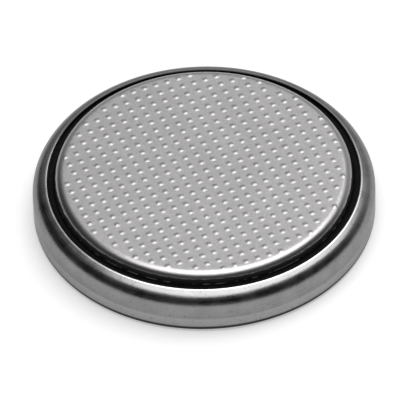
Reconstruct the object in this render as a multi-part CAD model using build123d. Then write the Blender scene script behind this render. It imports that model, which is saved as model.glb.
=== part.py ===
from build123d import *
import os
from math import cos, radians, sin, tan

# A 20 mm lithium coin cell, built from the pieces that come apart when its crimp is opened.
# Millimetres. The flat floor of the can, the positive face, lies on z = 0. The cell's axis is Z,
# and the negative cap faces up. Every round piece is a section in the XZ plane, turned about Z.

# Overall size, over the crimped can and from face to face
cell_diameter = 20.0
cell_height = 3.2

# Cathode can: a drawn steel cup, its rim crimped inwards over the gasket
can_sheet = 0.25
foot_radius = 0.35        # outside, between the floor and the wall
shoulder_radius = 0.88    # outside, between the wall and the crimped lip
lip_overhang = 0.85       # how far the crimp closes the mouth, on each side
lip_slope = 20.0          # degrees below level, falling outwards
lip_drop = 0.56           # from the cap's top face down to the top of the lip

# Anode cap: a drawn steel hat whose brim is gripped by the gasket
cap_sheet = 0.25
knee_radius = 0.55        # outside, between the top face and the crown wall
brim_bend_radius = 0.10   # inside radius of both bends of the brim

# Gasket: a moulded ring of J section, squeezed between can and cap
ring_width = 0.46         # what shows between the crown wall and the lip
ring_depth = 0.14         # from the top of the lip down to the ring's crest
ring_crown = 0.05         # how far the squeezed ring bulges
gasket_wall = 0.40        # between the cap's skirt and the can's wall
gasket_squeeze = 0.42     # between the cap's brim and the underside of the lip
gasket_base = 0.35        # under the skirt's cut edge
gasket_lip_wall = 0.35    # inside the skirt
gasket_lip_height = 0.50  # above the base

# Stack, from the can's floor upwards; the pellet fills the height that the others leave
grid_sheet = 0.10
separator_sheet = 0.15
lithium_sheet = 0.60
separator_rim_depth = 0.60
separator_gap = 0.12      # between the separator's rim and the crown wall
pellet_gap = 0.05         # between the pellet and the separator's rim
lithium_gap = 0.20        # between the lithium and the inside of the knee

# Cathode grid: expanded steel, a staggered net of diamond openings
grid_margin = 0.50        # the grid stops this far inside the pellet's edge
mesh_long = 2.00          # opening pitch along X
mesh_short = 1.20         # opening pitch along Y
strand_width = 0.25
grid_border = 0.20        # plain steel left round the net

edge_radius = 0.05        # the broken edges of the sheared steel and of the electrodes


# Radii and heights that follow from the sizes above
can_radius = cell_diameter / 2
can_inner_radius = can_radius - can_sheet
mouth_radius = can_radius - lip_overhang
lip_height = cell_height - lip_drop
lip_underside = lip_height - can_sheet * cos(radians(lip_slope))

crown_radius = mouth_radius - ring_width
crown_inner_radius = crown_radius - cap_sheet
skirt_radius = can_inner_radius - gasket_wall
brim_top = lip_underside - gasket_squeeze
skirt_foot = can_sheet + gasket_base

pellet_foot = can_sheet + grid_sheet
lithium_top = cell_height - cap_sheet
separator_top = lithium_top - lithium_sheet
pellet_top = separator_top - separator_sheet
separator_radius = crown_inner_radius - separator_gap
pellet_radius = separator_radius - separator_sheet - pellet_gap
lithium_radius = crown_radius - knee_radius - lithium_gap
grid_radius = pellet_radius - grid_margin


def pressed_sheet(corners, bends, sheet):
    """Section of one pressed sheet along its middle line, with its cut edge rounded over."""
    section = trace(FilletPolyline(*corners, radius=bends), sheet)
    cut_edge = section.vertices().sort_by_distance(Vector(*corners[-1]))[:2]
    return fillet(cut_edge, edge_radius)


def ring_section(r_low, r_high, z_low, z_high):
    """Rectangular section between two radii and two heights."""
    middle = Pos((r_low + r_high) / 2, (z_low + z_high) / 2)
    return middle * Rectangle(r_high - r_low, z_high - z_low)


def turned(section):
    """The solid that a section makes about the cell's axis."""
    return revolve(Plane.XZ * section, axis=Axis.Z)


def can_section():
    """Floor, wall, shoulder and the lip that the crimp lays over the gasket."""
    half = can_sheet / 2
    slope = radians(lip_slope)
    wall = can_radius - half
    lip_end = (mouth_radius - half * sin(slope), lip_height - half * cos(slope))
    shoulder_height = lip_end[1] - (wall - lip_end[0]) * tan(slope)
    corners = [(0, half), (wall, half), (wall, shoulder_height), lip_end]
    return pressed_sheet(corners, [foot_radius - half, shoulder_radius - half], can_sheet)


def cap_section():
    """Top face, crown wall, brim, and the skirt that stands in the gasket's channel."""
    half = cap_sheet / 2
    top = cell_height - half
    crown = crown_radius - half
    brim = brim_top - half
    skirt = skirt_radius - half
    corners = [(0, top), (crown, top), (crown, brim), (skirt, brim), (skirt, skirt_foot)]
    brim_bend = brim_bend_radius + half
    return pressed_sheet(corners, [knee_radius - half, brim_bend, brim_bend], cap_sheet)


def gasket_section(can, cap):
    """J section: everything between can and cap from the channel up to the ring that shows."""
    crown_middle = crown_radius - cap_sheet / 2
    skirt_middle = skirt_radius - cap_sheet / 2
    wall_middle = can_radius - can_sheet / 2
    lip_inside = skirt_radius - cap_sheet - gasket_lip_wall
    ring_edge = lip_height - ring_depth - ring_crown
    crest = ((crown_radius + mouth_radius) / 2, ring_edge + ring_crown)
    channel_base = ring_section(lip_inside, wall_middle, can_sheet, skirt_foot)
    inner_lip = ring_section(lip_inside, skirt_middle, can_sheet, skirt_foot + gasket_lip_height)
    outer_wall = ring_section(skirt_middle, wall_middle, can_sheet, ring_edge)
    over_brim = ring_section(crown_middle, wall_middle, brim_top - cap_sheet / 2, ring_edge)
    bulge = ThreePointArc((crown_radius, ring_edge), crest, (mouth_radius, ring_edge))
    ring_crest = make_face([bulge, Line(bulge @ 1, bulge @ 0)])
    blank = channel_base + inner_lip + outer_wall + over_brim + ring_crest
    return (blank - can - cap).faces().sort_by(SortBy.AREA)[-1]


def electrode(radius, z_low, z_high):
    """A pressed disc with its two edges broken."""
    section = ring_section(0, radius, z_low, z_high)
    rim = section.vertices().group_by(Axis.X)[-1]
    return turned(fillet(rim, edge_radius))


def separator():
    """Non-woven disc with its rim turned down round the pellet."""
    half = separator_sheet / 2
    rim = separator_radius - half
    disc = separator_top - half
    corners = [(0, disc), (rim, disc), (rim, separator_top - separator_rim_depth)]
    return turned(pressed_sheet(corners, [edge_radius + half], separator_sheet))


def cathode_grid():
    """Disc of expanded steel that joins the pellet to the can's floor."""
    half_long = mesh_long / 2
    half_short = mesh_short / 2
    side = (half_long**2 + half_short**2) ** 0.5
    opening = 1 - strand_width / 2 * side / (half_long * half_short)
    reach = grid_radius - grid_border - half_long * opening
    count = 2 * int(grid_radius / mesh_short) + 1
    rows = GridLocations(mesh_long, mesh_short, count, count).locations
    staggered = [Pos(half_long, half_short) * place for place in rows]
    places = [place for place in rows + staggered if place.position.length < reach]
    right, far = (half_long * opening, 0), (0, half_short * opening)
    left, near = (-half_long * opening, 0), (0, -half_short * opening)
    diamond = make_face(Polyline(right, far, left, near, close=True))
    net = Circle(grid_radius) - [place * diamond for place in places]
    return Pos(0, 0, can_sheet) * extrude(net, grid_sheet)


can = can_section()
cap = cap_section()
pieces = {
    "cathode_can": turned(can),
    "anode_cap": turned(cap),
    "gasket": turned(gasket_section(can, cap)),
    "lithium_anode": electrode(lithium_radius, separator_top, lithium_top),
    "separator": separator(),
    "cathode_pellet": electrode(pellet_radius, pellet_foot, pellet_top),
    "cathode_grid": cathode_grid(),
}

os.makedirs("parts", exist_ok=True)
for name, piece in pieces.items():
    piece.label = name
    export_step(piece, f"parts/{name}.step")
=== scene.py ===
from math import cos, pi, radians, sin, sqrt, tan

import bmesh
import bpy
from mathutils import Matrix, Vector


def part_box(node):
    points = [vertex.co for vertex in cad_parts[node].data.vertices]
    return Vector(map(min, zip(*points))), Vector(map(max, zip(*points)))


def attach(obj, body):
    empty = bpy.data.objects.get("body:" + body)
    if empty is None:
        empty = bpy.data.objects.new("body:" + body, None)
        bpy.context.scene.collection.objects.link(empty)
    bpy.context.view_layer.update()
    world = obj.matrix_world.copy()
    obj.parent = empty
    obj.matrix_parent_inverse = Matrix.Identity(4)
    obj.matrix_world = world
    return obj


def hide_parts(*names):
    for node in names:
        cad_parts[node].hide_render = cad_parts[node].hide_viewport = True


MM = 0.001
TINY = 0.0001 * MM
SNAP = 0.008 * MM         # corners nearer than this on the level top become one
AROUND = 256              # steps of a full turn
BEND_STEPS = 14           # steps of a bend
EDGE_STEPS = 5            # steps of a rounded edge
EDGE_MOST = 0.1 * MM      # a bend up to this radius is an edge

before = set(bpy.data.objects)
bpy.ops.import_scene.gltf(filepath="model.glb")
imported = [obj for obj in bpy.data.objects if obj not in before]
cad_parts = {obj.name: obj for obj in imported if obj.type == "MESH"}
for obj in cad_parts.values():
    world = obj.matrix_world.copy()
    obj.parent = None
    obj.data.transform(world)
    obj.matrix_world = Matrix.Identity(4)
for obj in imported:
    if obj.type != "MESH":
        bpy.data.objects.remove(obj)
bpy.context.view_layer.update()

# Sizes that the frame gives
can_low, can_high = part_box("cathode_can")
cap_low, cap_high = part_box("anode_cap")
CAN_RADIUS = can_high.x
CELL_HEIGHT = cap_high.z
SKIRT_RADIUS = cap_high.x
SKIRT_FOOT = cap_low.z

# The can: one drawn and crimped sheet
CAN_SHEET = 0.25 * MM
FOOT_RADIUS = 0.35 * MM
SHOULDER_RADIUS = 0.88 * MM
LIP_OVERHANG = 0.85 * MM
LIP_DROP = 0.56 * MM
LIP_SLOPE = radians(20)
LIP_EDGE = 0.07 * MM
DRAW_LINE_HEIGHT = 1.0 * MM
DRAW_LINE_WIDTH = 0.12 * MM
DRAW_LINE_DEPTH = 0.015 * MM

# The cap: one drawn sheet with an embossed top
CAP_SHEET = 0.25 * MM
KNEE_RADIUS = 0.55 * MM
BRIM_BEND = 0.10 * MM
CAP_EDGE = 0.05 * MM
TOP_LAID = radians(46)    # how much of the knee is laid level to take the outer dots
RING_WIDTH = 0.46 * MM
GASKET_SQUEEZE = 0.42 * MM

# The dots on the cap stand on a square net that is turned and set a little off the axis
DOT_PITCH = 0.7133 * MM
DOT_TURN = radians(21.1)
DOT_SHIFT = Vector((0.148, 0.02, 0)) * MM
DOT_RADIUS = 0.20 * MM
DOT_HEIGHT = 0.024 * MM
DOT_FIELD = 8.20 * MM    # how far out the outermost dots' centres are
DOT_PLOT = 0.215 * MM     # half the side of the plot that a dot is pressed from
DOT_PROFILE = ((0.8, 0.16), (0.55, 0.55), (0.28, 0.88))    # shares of radius and of height

# The gasket
GASKET_LIP_WALL = 0.35 * MM
GASKET_LIP_HEIGHT = 0.50 * MM
RING_DEPTH = 0.14 * MM
RING_CROWN = 0.05 * MM

# The round of dark card: its rim slants, high on the left
CARD_RADIUS = 1.45
CARD_HEIGHT = 3.17
CARD_SLANT = Vector((-0.56, -0.05))

# Radii and heights that follow
MOUTH_RADIUS = CAN_RADIUS - LIP_OVERHANG
LIP_HEIGHT = CELL_HEIGHT - LIP_DROP
LIP_UNDERSIDE = LIP_HEIGHT - CAN_SHEET * cos(LIP_SLOPE)
CROWN_RADIUS = MOUTH_RADIUS - RING_WIDTH
BRIM_TOP = LIP_UNDERSIDE - GASKET_SQUEEZE
RING_EDGE = LIP_HEIGHT - RING_DEPTH - RING_CROWN
CAN_INSIDE = CAN_RADIUS - CAN_SHEET
LIP_FOOT_RADIUS = MOUTH_RADIUS - CAN_SHEET * sin(LIP_SLOPE)
SHOULDER_INSIDE = LIP_UNDERSIDE - (CAN_INSIDE - LIP_FOOT_RADIUS) * tan(LIP_SLOPE)
SKIRT_INSIDE = SKIRT_RADIUS - CAP_SHEET


# ---------------------------------------------------------------- mesh tools

def outline(corners, closed=False):
    """A bmesh that holds a line through (radius, height, bend radius) corners, each bend an arc."""
    bm = bmesh.new()
    verts = [bm.verts.new((radius, 0, height)) for radius, height, _ in corners]
    ends = verts[1:] + verts[:1] if closed else verts[1:]
    for start, end in zip(verts, ends):
        bm.edges.new((start, end))
    for vert, (_, _, bend) in zip(verts, corners):
        if bend:
            legs = [edge.other_vert(vert).co - vert.co for edge in vert.link_edges]
            half_turn = (pi - legs[0].angle(legs[1])) / 2
            steps = BEND_STEPS if bend > EDGE_MOST else EDGE_STEPS
            bmesh.ops.bevel(
                bm, geom=[vert], offset=bend * tan(half_turn), offset_type="OFFSET",
                segments=steps, profile=0.5, affect="VERTICES", material=-1)
    return bm


def lathe(bm):
    """Turns the outline once about the cell's axis and closes its seam and poles."""
    bmesh.ops.spin(
        bm, geom=bm.verts[:] + bm.edges[:], cent=(0, 0, 0), axis=(0, 0, 1),
        dvec=(0, 0, 0), angle=2 * pi, steps=AROUND, use_merge=True)
    bmesh.ops.remove_doubles(bm, verts=bm.verts[:], dist=TINY)
    bmesh.ops.recalc_face_normals(bm, faces=bm.faces[:])


def piece(name, bm, material, node):
    """Makes the bmesh a smooth piece that stands for its CAD node."""
    mesh = bpy.data.meshes.new(name)
    bm.to_mesh(mesh)
    bm.free()
    mesh.shade_smooth()
    mesh.materials.append(material)
    obj = bpy.data.objects.new(name, mesh)
    bpy.context.scene.collection.objects.link(obj)
    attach(obj, "root")
    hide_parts(node)
    flats = obj.modifiers.new("true_flats", "WEIGHTED_NORMAL")
    flats.mode = "FACE_AREA"
    flats.keep_sharp = True
    return obj


# ---------------------------------------------------------------- material tools

class Finish:
    """A material whose patterns are measured in millimetres on the piece itself."""

    def __init__(self, name, colour, roughness, metallic=0.0, specular=0.5):
        self.material = bpy.data.materials.new(name)
        self.material.use_nodes = True
        self.nodes = self.material.node_tree.nodes
        self.links = self.material.node_tree.links
        self.shader = self.nodes["Principled BSDF"]
        self.shader.inputs["Base Color"].default_value = (*colour, 1)
        self.shader.inputs["Roughness"].default_value = roughness
        self.shader.inputs["Metallic"].default_value = metallic
        self.shader.inputs["Specular IOR Level"].default_value = specular
        coordinates = self.nodes.new("ShaderNodeTexCoord")
        millimetres = self.nodes.new("ShaderNodeMapping")
        millimetres.inputs["Scale"].default_value = (1 / MM, 1 / MM, 1 / MM)
        self.links.new(coordinates.outputs["Object"], millimetres.inputs["Vector"])
        self.place = millimetres.outputs["Vector"]
        flat = self.vector("MULTIPLY", self.place, (1, 1, 0))
        self.radius = self.vector("LENGTH", flat)
        self.bearing = self.vector("NORMALIZE", flat)
        split = self.nodes.new("ShaderNodeSeparateXYZ")
        self.links.new(self.place, split.inputs["Vector"])
        self.height = split.outputs["Z"]
        self.rearward = split.outputs["Y"]

    def feed(self, socket, value):
        """Sets a socket to a number or links it to another socket."""
        if isinstance(value, bpy.types.NodeSocket):
            self.links.new(value, socket)
        else:
            socket.default_value = value

    def vector(self, operation, first, second=None):
        node = self.nodes.new("ShaderNodeVectorMath")
        node.operation = operation
        self.feed(node.inputs[0], first)
        if operation == "SCALE":
            self.feed(node.inputs["Scale"], second)
        elif second is not None:
            self.feed(node.inputs[1], second)
        return node.outputs["Value"] if operation == "LENGTH" else node.outputs["Vector"]

    def math(self, operation, first, second):
        node = self.nodes.new("ShaderNodeMath")
        node.operation = operation
        self.feed(node.inputs[0], first)
        self.feed(node.inputs[1], second)
        return node.outputs["Value"]

    def noise(self, per_mm, detail=2.0, where=None):
        """Soft random pattern with about so many features in a millimetre."""
        node = self.nodes.new("ShaderNodeTexNoise")
        node.inputs["Scale"].default_value = per_mm
        node.inputs["Detail"].default_value = detail
        self.links.new(where or self.place, node.inputs["Vector"])
        return node.outputs["Fac"]

    def stretched(self, length, width, turn=0.0):
        """Place for a pattern of strokes of that length and width, turned about the axis."""
        node = self.nodes.new("ShaderNodeMapping")
        node.inputs["Rotation"].default_value = (0, 0, turn)
        node.inputs["Scale"].default_value = (1 / length, 1 / width, 1 / width)
        self.links.new(self.place, node.inputs["Vector"])
        return node.outputs["Vector"]

    def rings(self, length, width):
        """Place for a pattern of strokes that run round the axis, on a face or a wall."""
        across = self.math("SUBTRACT", self.height, self.radius)
        lift = self.nodes.new("ShaderNodeCombineXYZ")
        self.feed(lift.inputs["Z"], self.math("DIVIDE", across, width))
        round_about = self.vector("SCALE", self.bearing, CAN_RADIUS / MM / length)
        return self.vector("ADD", round_about, lift.outputs["Vector"])

    def remap(self, value, low, high, to_low, to_high):
        """Value between low and high, stretched to the second pair and held at its ends."""
        node = self.nodes.new("ShaderNodeMapRange")
        node.interpolation_type = "SMOOTHSTEP"
        for name, number in (("Value", value), ("From Min", low), ("From Max", high),
                             ("To Min", to_low), ("To Max", to_high)):
            self.feed(node.inputs[name], number)
        return node.outputs["Result"]

    def blend(self, share, first, second):
        """Colour between two colours, each a triple or a socket."""
        node = self.nodes.new("ShaderNodeMix")
        node.data_type = "RGBA"
        self.feed(node.inputs["Factor"], share)
        for name, colour in (("A", first), ("B", second)):
            socket = next(s for s in node.inputs if s.name == name and s.type == "RGBA")
            self.feed(socket, colour if isinstance(colour, bpy.types.NodeSocket) else (*colour, 1))
        return next(s for s in node.outputs if s.type == "RGBA")

    def relief(self, pattern, depth_mm, below=None):
        """Normal of a surface that the pattern raises by that depth, on top of another relief."""
        node = self.nodes.new("ShaderNodeBump")
        node.inputs["Strength"].default_value = 1
        node.inputs["Distance"].default_value = depth_mm * MM
        self.links.new(pattern, node.inputs["Height"])
        if below is not None:
            self.links.new(below, node.inputs["Normal"])
        return node.outputs["Normal"]

    def set(self, name, socket):
        self.links.new(socket, self.shader.inputs[name])


# ---------------------------------------------------------------- the finishes

def can_finish():
    """Nickel-plated steel, drawn and handled: streaks round the wall and specks; the lip's edge carries a painted
    highlight, its inner edge painted shade towards the back, and the foot a painted contact shadow.
    """
    steel = Finish("can_steel", (0.25, 0.25, 0.25), 0.24, metallic=1.0)
    streaks = steel.noise(1.0, 3.0, steel.rings(4.0, 0.06))
    mottle = steel.noise(0.9, 3.0)
    specks = steel.noise(6.5, 2.0)
    # Painted highlight: the lip's edge is made much lighter than the rest of the steel, for the bright line the lamp
    # makes along it.
    lip_painted_highlight = steel.remap(steel.radius, 9.28, 9.24, 0, 1)
    # Painted shade: the lip's inner edge is made near black, more so towards the back of the cell.
    mouth_painted_shade = steel.math("MULTIPLY", steel.remap(steel.radius, 9.225, 9.200, 0, 1),
                       steel.remap(steel.rearward, 0.5, 5.0, 0, 1))
    lower_wall = steel.remap(steel.height, 1.04, 0.96, 0, 1)
    # Painted shadow: the foot is made near black, for the contact shadow that the floor shows in it.
    foot_painted_shadow = steel.remap(steel.height, 0.46, 0.34, 0, 1)
    colour = steel.blend(steel.remap(mottle, 0.3, 0.7, 0, 1), (0.215, 0.215, 0.215), (0.265, 0.265, 0.265))
    colour = steel.blend(steel.remap(streaks, 0.35, 0.75, 0, 0.35), colour, (0.32, 0.32, 0.32))
    colour = steel.blend(steel.math("MULTIPLY", lower_wall, 0.55), colour, (0.33, 0.33, 0.33))
    colour = steel.blend(steel.remap(specks, 0.60, 0.72, 0, 0.45), colour, (0.10, 0.10, 0.10))
    # Painted contact shadow on the foot.
    colour = steel.blend(foot_painted_shadow, colour, (0.03, 0.03, 0.03))
    # Painted highlight on the lip's edge.
    colour = steel.blend(lip_painted_highlight, colour, (0.6, 0.6, 0.6))
    # Painted shade on the lip's inner edge towards the back.
    colour = steel.blend(mouth_painted_shade, colour, (0.05, 0.05, 0.05))
    steel.shader.inputs["Specular Tint"].default_value = (0.7, 0.7, 0.7, 1)
    steel.set("Base Color", colour)
    rough = steel.math("ADD", steel.remap(mottle, 0.3, 0.7, 0.24, 0.30), steel.remap(streaks, 0.3, 0.7, 0, 0.05))
    steel.set("Roughness", rough)
    normal = steel.relief(steel.noise(11.0, 1.0), 0.0016, steel.relief(streaks, 0.0009))
    steel.set("Normal", steel.relief(specks, 0.0022, normal))
    return steel.material


def cap_finish():
    """Matt nickel plate; black painted shade covers the crown wall down to the gasket, broken by grey flecks that are
    a painted reflection of the lip.
    """
    steel = Finish("cap_steel", (0.385, 0.38, 0.385), 0.3, metallic=1.0, specular=0.1)
    grain = steel.noise(9.0, 2.0)
    mottle = steel.noise(0.5, 3.0)
    strokes = steel.noise(1.0, 2.0, steel.stretched(2.5, 0.05, radians(35)))
    colour = steel.blend(steel.remap(mottle, 0.3, 0.7, 0, 1), (0.415, 0.405, 0.41), (0.43, 0.42, 0.425))
    colour = steel.blend(steel.remap(grain, 0.3, 0.7, 0.4, 0), colour, (0.27, 0.27, 0.27))
    colour = steel.blend(steel.remap(strokes, 0.68, 0.80, 0, 0.2), colour, (0.48, 0.48, 0.48))
    # Painted shade: the lower knee and the crown wall, in the gap between cap and gasket, are made a dull near-black
    # non-metal with a ragged upper edge.
    ragged = steel.math("MULTIPLY", steel.noise(2.2, 3.0), 0.16)
    gap_painted_shade = steel.remap(steel.math("ADD", steel.height, ragged), 3.01, 2.93, 0, 1)
    outside = steel.remap(steel.radius, 8.45, 8.50, 0, 1)
    gap_painted_shade = steel.math("MULTIPLY", gap_painted_shade, outside)
    # Painted reflection: a broken line of grey flecks low on the crown wall stands for the lip's bright line mirrored
    # there.
    fleck_line = steel.remap(steel.math("ABSOLUTE", steel.math("SUBTRACT", steel.height, 2.545), 0), 0.02, 0.045, 1, 0)
    fleck_spots = steel.math("MULTIPLY", fleck_line, steel.remap(steel.noise(1.9, 3.0), 0.46, 0.60, 0, 0.8))
    fleck_painted_reflection = steel.math("MULTIPLY", gap_painted_shade, fleck_spots)
    # Painted shade in the gap between cap and gasket.
    colour = steel.blend(gap_painted_shade, colour, (0.018, 0.018, 0.018))
    # Painted reflection: grey flecks on the dark band.
    steel.set("Base Color", steel.blend(fleck_painted_reflection, colour, (0.3, 0.3, 0.3)))
    steel.set("Metallic", steel.math("SUBTRACT", 1.0, gap_painted_shade))
    rough = steel.math("ADD", steel.remap(mottle, 0.3, 0.7, 0.335, 0.35), steel.math("MULTIPLY", gap_painted_shade, 0.3))
    steel.set("Roughness", rough)
    normal = steel.relief(grain, 0.0006)
    steel.set("Normal", steel.relief(strokes, 0.0006, normal))
    return steel.material


def gasket_finish():
    """Black moulded nylon, dull from the sealant on it."""
    nylon = Finish("gasket_plastic", (0.004, 0.004, 0.004), 0.5, specular=0.04)
    grain = nylon.noise(7.0, 3.0)
    smear = nylon.noise(1.3, 3.0, nylon.rings(3.0, 0.2))
    nylon.set("Base Color", nylon.blend(
        nylon.remap(grain, 0.5, 0.75, 0, 1), (0.003, 0.003, 0.003), (0.009, 0.009, 0.009)))
    nylon.set("Roughness", nylon.remap(smear, 0.3, 0.7, 0.42, 0.6))
    nylon.set("Normal", nylon.relief(grain, 0.003))
    return nylon.material


def lithium_finish():
    """Rolled lithium foil: pale, soft, dulled in patches."""
    foil = Finish("lithium", (0.55, 0.55, 0.57), 0.4, metallic=1.0)
    rolled = foil.noise(1.0, 3.0, foil.stretched(6.0, 0.08))
    dull = foil.noise(0.6, 4.0)
    foil.set("Base Color", foil.blend(
        foil.remap(dull, 0.35, 0.7, 0, 1), (0.58, 0.58, 0.60), (0.36, 0.36, 0.38)))
    foil.set("Roughness", foil.remap(dull, 0.3, 0.7, 0.32, 0.55))
    foil.set("Normal", foil.relief(rolled, 0.002))
    return foil.material


def separator_finish():
    """White polypropylene fleece, a felt of crossed fibres."""
    fleece = Finish("separator_fleece", (0.78, 0.78, 0.76), 0.85, specular=0.3)
    one_way = fleece.noise(1.0, 3.0, fleece.stretched(1.6, 0.04, radians(25)))
    other_way = fleece.noise(1.0, 3.0, fleece.stretched(1.6, 0.04, radians(115)))
    fibres = fleece.math("MAXIMUM", one_way, other_way)
    fleece.set("Base Color", fleece.blend(
        fleece.remap(fibres, 0.4, 0.75, 0, 1), (0.66, 0.66, 0.64), (0.82, 0.82, 0.80)))
    fleece.set("Normal", fleece.relief(fibres, 0.02))
    return fleece.material


def pellet_finish():
    """Pressed manganese dioxide powder with graphite: black, with a few bright flakes."""
    powder = Finish("cathode_mix", (0.03, 0.03, 0.032), 0.8, specular=0.4)
    grains = powder.noise(14.0, 3.0)
    flakes = powder.noise(9.0, 0.0)
    powder.set("Base Color", powder.blend(
        powder.remap(grains, 0.3, 0.7, 0, 1), (0.02, 0.02, 0.021), (0.05, 0.05, 0.053)))
    powder.set("Roughness", powder.remap(flakes, 0.66, 0.72, 0.85, 0.35))
    powder.set("Normal", powder.relief(grains, 0.012))
    return powder.material


def grid_finish():
    """Expanded stainless steel, bright on the strands that the rolls flattened."""
    steel = Finish("grid_steel", (0.5, 0.5, 0.5), 0.3, metallic=1.0)
    streaks = steel.noise(1.0, 3.0, steel.stretched(1.5, 0.03))
    steel.set("Base Color", steel.blend(
        steel.remap(streaks, 0.3, 0.7, 0, 1), (0.42, 0.42, 0.42), (0.56, 0.56, 0.56)))
    steel.set("Roughness", steel.remap(streaks, 0.3, 0.7, 0.24, 0.42))
    steel.set("Normal", steel.relief(streaks, 0.001))
    return steel.material


# ---------------------------------------------------------------- the pieces

def make_can():
    """Floor, wall with its draw line, shoulder and the lip over the gasket."""
    line_half = DRAW_LINE_WIDTH / 2
    bm = outline([
        (0, 0, 0),
        (CAN_RADIUS, 0, FOOT_RADIUS),
        (CAN_RADIUS, DRAW_LINE_HEIGHT - line_half, 0),
        (CAN_RADIUS - DRAW_LINE_DEPTH, DRAW_LINE_HEIGHT, 0),
        (CAN_RADIUS, DRAW_LINE_HEIGHT + line_half, 0),
        (CAN_RADIUS, LIP_HEIGHT - LIP_OVERHANG * tan(LIP_SLOPE), SHOULDER_RADIUS),
        (MOUTH_RADIUS, LIP_HEIGHT, LIP_EDGE),
        (LIP_FOOT_RADIUS, LIP_UNDERSIDE, LIP_EDGE),
        (CAN_INSIDE, SHOULDER_INSIDE, SHOULDER_RADIUS - CAN_SHEET),
        (CAN_INSIDE, CAN_SHEET, FOOT_RADIUS - CAN_SHEET),
        (0, CAN_SHEET, 0)])
    lathe(bm)
    piece("can", bm, can_finish(), "cathode_can")


def dot_home(place):
    """The dot nearest to a place: its centre, and how far off the place is along the net."""
    turn = Matrix.Rotation(DOT_TURN, 3, "Z")
    spot = turn.inverted() @ (place - DOT_SHIFT) / DOT_PITCH
    home = Vector((round(spot.x), round(spot.y), 0))
    off = max(abs(spot.x - home.x), abs(spot.y - home.y)) * DOT_PITCH
    return DOT_SHIFT + turn @ home * DOT_PITCH, off


def dot_plots(bm, top):
    """The level faces that dots are pressed from, each with its dot's centre."""
    plots = []
    for face in bm.faces:
        middle = face.calc_center_median()
        if middle.z > top - TINY:
            centre, off = dot_home(middle)
            if off < DOT_PLOT and centre.xy.length < DOT_FIELD:
                plots.append((face, centre))
    return plots


def cut_plots(bm, top):
    """Cuts the level top along the sides of all plots and clears what else divides a plot."""
    count = int(DOT_FIELD / DOT_PITCH) + 1
    level = [face for face in bm.faces if face.calc_center_median().z > top - TINY]
    geom = level + list({e for f in level for e in f.edges}) + list({v for f in level for v in f.verts})
    for side in (Vector((1, 0, 0)), Vector((0, 1, 0))):
        across = Matrix.Rotation(DOT_TURN, 3, "Z") @ side
        for row in range(-count, count + 1):
            for edge in (-DOT_PLOT, DOT_PLOT):
                place = DOT_SHIFT + across * (row * DOT_PITCH + edge)
                geom = bmesh.ops.bisect_plane(
                    bm, geom=geom, dist=TINY, plane_co=place, plane_no=across)["geom"]
    bmesh.ops.dissolve_faces(bm, faces=[face for face, _ in dot_plots(bm, top)])
    level = [vert for vert in bm.verts if vert.co.z > top - TINY]
    bmesh.ops.remove_doubles(bm, verts=level, dist=SNAP)
    for least, most, cuts in ((0.3, 0.6, 1), (0.6, 1.1, 2)):
        edges = {edge for face, _ in dot_plots(bm, top) for edge in face.edges
                 if least < edge.calc_length() / (2 * DOT_PLOT) <= most}
        bmesh.ops.bisect_edges(bm, edges=list(edges), cuts=cuts)


def press_ring(plots, radius, height):
    """Moves each plot's outline onto a circle at a height."""
    for face, centre in plots:
        for vert in face.verts:
            arm = Vector((vert.co.x - centre.x, vert.co.y - centre.y)).normalized() * radius
            vert.co = (centre.x + arm.x, centre.y + arm.y, height)


def emboss(bm, top, knee_start, knee_bend):
    """Presses the dots. The outermost run over the start of the knee, so that is laid level
    for the work and bent down again afterwards."""
    laid_out = knee_start + knee_bend * sin(TOP_LAID)
    laid_down = top - knee_bend * (1 - cos(TOP_LAID))
    for vert in bm.verts:
        if vert.co.xy.length < laid_out + TINY and vert.co.z > laid_down - TINY:
            vert.co.z = top
    inner = [face for face in bm.faces
             if face.calc_center_median().z > top - TINY
             and all(vert.co.xy.length < knee_start + TINY for vert in face.verts)]
    bmesh.ops.dissolve_faces(bm, faces=inner, use_verts=True)
    cut_plots(bm, top)
    plots = dot_plots(bm, top)
    faces = [face for face, _ in plots]
    bmesh.ops.inset_individual(bm, faces=faces, thickness=TINY, depth=0)
    press_ring(plots, DOT_RADIUS, top)
    for share, rise in DOT_PROFILE:
        bmesh.ops.inset_individual(bm, faces=faces, thickness=TINY, depth=0)
        press_ring(plots, DOT_RADIUS * share, top + DOT_HEIGHT * rise)
    for crest in bmesh.ops.poke(bm, faces=faces)["verts"]:
        centre, _ = dot_home(crest.co)
        crest.co = (centre.x, centre.y, top + DOT_HEIGHT)
    for vert in bm.verts:
        over = vert.co.xy.length - knee_start
        if vert.co.z > top - TINY and over > 0:
            vert.co.z -= knee_bend - sqrt(knee_bend ** 2 - over ** 2)


def make_cap():
    """Embossed top, knee, crown wall, brim and skirt."""
    top = CELL_HEIGHT - DOT_HEIGHT
    crown_inside = CROWN_RADIUS - CAP_SHEET
    brim_under = BRIM_TOP - CAP_SHEET
    bm = outline([
        (0, top, 0),
        (CROWN_RADIUS, top, KNEE_RADIUS),
        (CROWN_RADIUS, BRIM_TOP, BRIM_BEND),
        (SKIRT_RADIUS, BRIM_TOP, BRIM_BEND + CAP_SHEET),
        (SKIRT_RADIUS, SKIRT_FOOT, CAP_EDGE),
        (SKIRT_INSIDE, SKIRT_FOOT, CAP_EDGE),
        (SKIRT_INSIDE, brim_under, BRIM_BEND),
        (crown_inside, brim_under, BRIM_BEND + CAP_SHEET),
        (crown_inside, CELL_HEIGHT - CAP_SHEET, KNEE_RADIUS - CAP_SHEET),
        (0, CELL_HEIGHT - CAP_SHEET, 0)])
    lathe(bm)
    emboss(bm, top, CROWN_RADIUS - KNEE_RADIUS, KNEE_RADIUS)
    piece("cap", bm, cap_finish(), "anode_cap")


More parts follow.
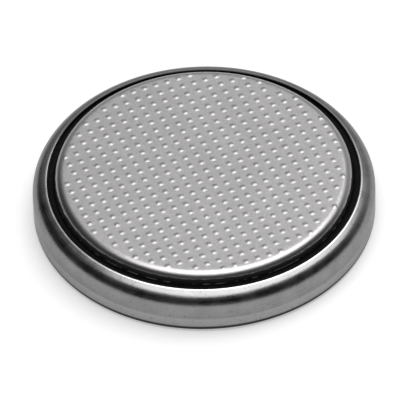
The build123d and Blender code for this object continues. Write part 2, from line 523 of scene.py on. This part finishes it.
def make_gasket():
    """J section: channel for the skirt, wall against the can, and the ring that shows."""
    lip_inside = SKIRT_INSIDE - GASKET_LIP_WALL
    lip_top = SKIRT_FOOT + GASKET_LIP_HEIGHT
    bm = outline([
        (CROWN_RADIUS, RING_EDGE, 0),
        (CROWN_RADIUS, BRIM_TOP, BRIM_BEND),
        (SKIRT_RADIUS, BRIM_TOP, BRIM_BEND + CAP_SHEET),
        (SKIRT_RADIUS, SKIRT_FOOT, 0),
        (SKIRT_INSIDE, SKIRT_FOOT, 0),
        (SKIRT_INSIDE, lip_top, 0),
        (lip_inside, lip_top, 0),
        (lip_inside, CAN_SHEET, 0),
        (CAN_INSIDE, CAN_SHEET, FOOT_RADIUS - CAN_SHEET),
        (CAN_INSIDE, SHOULDER_INSIDE, SHOULDER_RADIUS - CAN_SHEET),
        (LIP_FOOT_RADIUS, LIP_UNDERSIDE, 0),
        (MOUTH_RADIUS, RING_EDGE, 0),
        ((MOUTH_RADIUS + CROWN_RADIUS) / 2, RING_EDGE + 2 * RING_CROWN, RING_WIDTH * 0.9)], closed=True)
    lathe(bm)
    ring = piece("gasket_ring", bm, gasket_finish(), "gasket")
    ring.data.set_sharp_from_angle(angle=radians(40))


def finish_stack():
    """Gives the sealed inner parts their own finishes."""
    finishes = {
        "lithium_anode": lithium_finish(),
        "separator": separator_finish(),
        "cathode_pellet": pellet_finish(),
        "cathode_grid": grid_finish(),
    }
    for node, material in finishes.items():
        for slot in bpy.data.objects[node].material_slots:
            slot.material = material


# ---------------------------------------------------------------- the set

def background_rays(nodes, links):
    """1 for the rays that look at the background, straight or in a reflection, else 0."""
    path = nodes.new("ShaderNodeLightPath")
    total = path.outputs["Is Camera Ray"]
    for name in ("Is Glossy Ray", "Is Transmission Ray"):
        either = nodes.new("ShaderNodeMath")
        either.operation = "MAXIMUM"
        links.new(total, either.inputs[0])
        links.new(path.outputs[name], either.inputs[1])
        total = either.outputs["Value"]
    return total


def stage_piece(name, bm, material):
    mesh = bpy.data.meshes.new(name)
    bm.to_mesh(mesh)
    bm.free()
    mesh.materials.append(material)
    obj = bpy.data.objects.new(name, mesh)
    bpy.context.scene.collection.objects.link(obj)
    return obj


def make_floor():
    """A wide sheet of white paper."""
    material = bpy.data.materials.new("floor_paper")
    material.use_nodes = True
    nodes, links = material.node_tree.nodes, material.node_tree.links
    shader = nodes["Principled BSDF"]
    shader.inputs["Base Color"].default_value = (0.7, 0.7, 0.7, 1)
    shader.inputs["Roughness"].default_value = 1
    shader.inputs["Specular IOR Level"].default_value = 0
    shader.inputs["Emission Color"].default_value = (0.42, 0.42, 0.42, 1)
    links.new(background_rays(nodes, links), shader.inputs["Emission Strength"])
    bm = bmesh.new()
    bmesh.ops.create_circle(bm, cap_ends=True, radius=1.5, segments=96)
    bmesh.ops.translate(bm, verts=bm.verts[:], vec=(0, 0, -0.002 * MM))
    stage_piece("floor", bm, material)


def make_dark_card():
    """A round of dark card, taller on the left, that bright metal needs to show its shape.
    Its back is lit a little. Only reflections show it."""
    material = bpy.data.materials.new("dark_card")
    material.use_nodes = True
    nodes, links = material.node_tree.nodes, material.node_tree.links
    nodes.remove(nodes["Principled BSDF"])
    glow = nodes.new("ShaderNodeEmission")
    glow.inputs["Color"].default_value = (1, 1, 1, 1)
    links.new(glow.outputs["Emission"], nodes["Material Output"].inputs["Surface"])
    coordinates = nodes.new("ShaderNodeTexCoord")
    towards_back = nodes.new("ShaderNodeVectorMath")
    towards_back.operation = "DOT_PRODUCT"
    towards_back.inputs[1].default_value = (cos(radians(72)), sin(radians(72)), 0)
    links.new(coordinates.outputs["Object"], towards_back.inputs[0])
    level = nodes.new("ShaderNodeMapRange")
    level.interpolation_type = "SMOOTHSTEP"
    level.inputs["From Min"].default_value = 0.4 * CARD_RADIUS
    level.inputs["From Max"].default_value = 0.9 * CARD_RADIUS
    level.inputs["To Min"].default_value = 0.01
    level.inputs["To Max"].default_value = 0.45
    links.new(towards_back.outputs["Value"], level.inputs["Value"])
    links.new(level.outputs["Result"], glow.inputs["Strength"])
    bm = bmesh.new()
    bmesh.ops.create_circle(bm, cap_ends=False, radius=CARD_RADIUS, segments=96)
    rim = bmesh.ops.extrude_edge_only(bm, edges=bm.edges[:])["geom"]
    for vert in (part for part in rim if isinstance(part, bmesh.types.BMVert)):
        vert.co.z = CARD_HEIGHT + CARD_SLANT.dot(vert.co.xy)
    card = stage_piece("dark_card", bm, material)
    card.visible_camera = False
    card.visible_diffuse = False
    card.visible_shadow = False


def make_lights():
    """One large soft lamp overhead, towards the back right, and a dim white room."""
    data = bpy.data.lights.new("softbox", "AREA")
    data.shape = "RECTANGLE"
    data.size = 0.91
    data.size_y = 1.42
    data.energy = 2.7 * pi * data.size * data.size_y
    softbox = bpy.data.objects.new("softbox", data)
    softbox.location = (0.096, 0.114, 1.0)
    softbox.rotation_euler = softbox.location.to_track_quat("Z", "Y").to_euler()
    softbox.visible_camera = False
    bpy.context.scene.collection.objects.link(softbox)

    world = bpy.data.worlds.new("room")
    world.use_nodes = True
    nodes, links = world.node_tree.nodes, world.node_tree.links
    level = nodes.new("ShaderNodeMapRange")
    level.inputs["To Min"].default_value = 0.15
    level.inputs["To Max"].default_value = 1
    links.new(background_rays(nodes, links), level.inputs["Value"])
    nodes["Background"].inputs["Color"].default_value = (1, 1, 1, 1)
    links.new(level.outputs["Result"], nodes["Background"].inputs["Strength"])
    world.cycles.sampling_method = "NONE"
    bpy.context.scene.world = world


def make_camera():
    """A long lens, 44 degrees above the floor."""
    turn = Matrix.Rotation(radians(90 - 44.44), 3, "X") @ Matrix.Rotation(radians(-1.53), 3, "Z")
    data = bpy.data.cameras.new("camera")
    data.sensor_width = 36
    data.lens = 571.8
    data.clip_start = 0.01
    data.clip_end = 10
    camera = bpy.data.objects.new("camera", data)
    camera.location = Vector((0, 0, CELL_HEIGHT / 2)) + turn @ Vector((-0.233, -0.590, 370.6)) * MM
    camera.rotation_euler = turn.to_euler()
    bpy.context.scene.collection.objects.link(camera)
    bpy.context.scene.camera = camera


make_can()
make_cap()
make_gasket()
finish_stack()
make_floor()
make_dark_card()
make_lights()
make_camera()
bpy.context.scene.view_settings.view_transform = "Standard"
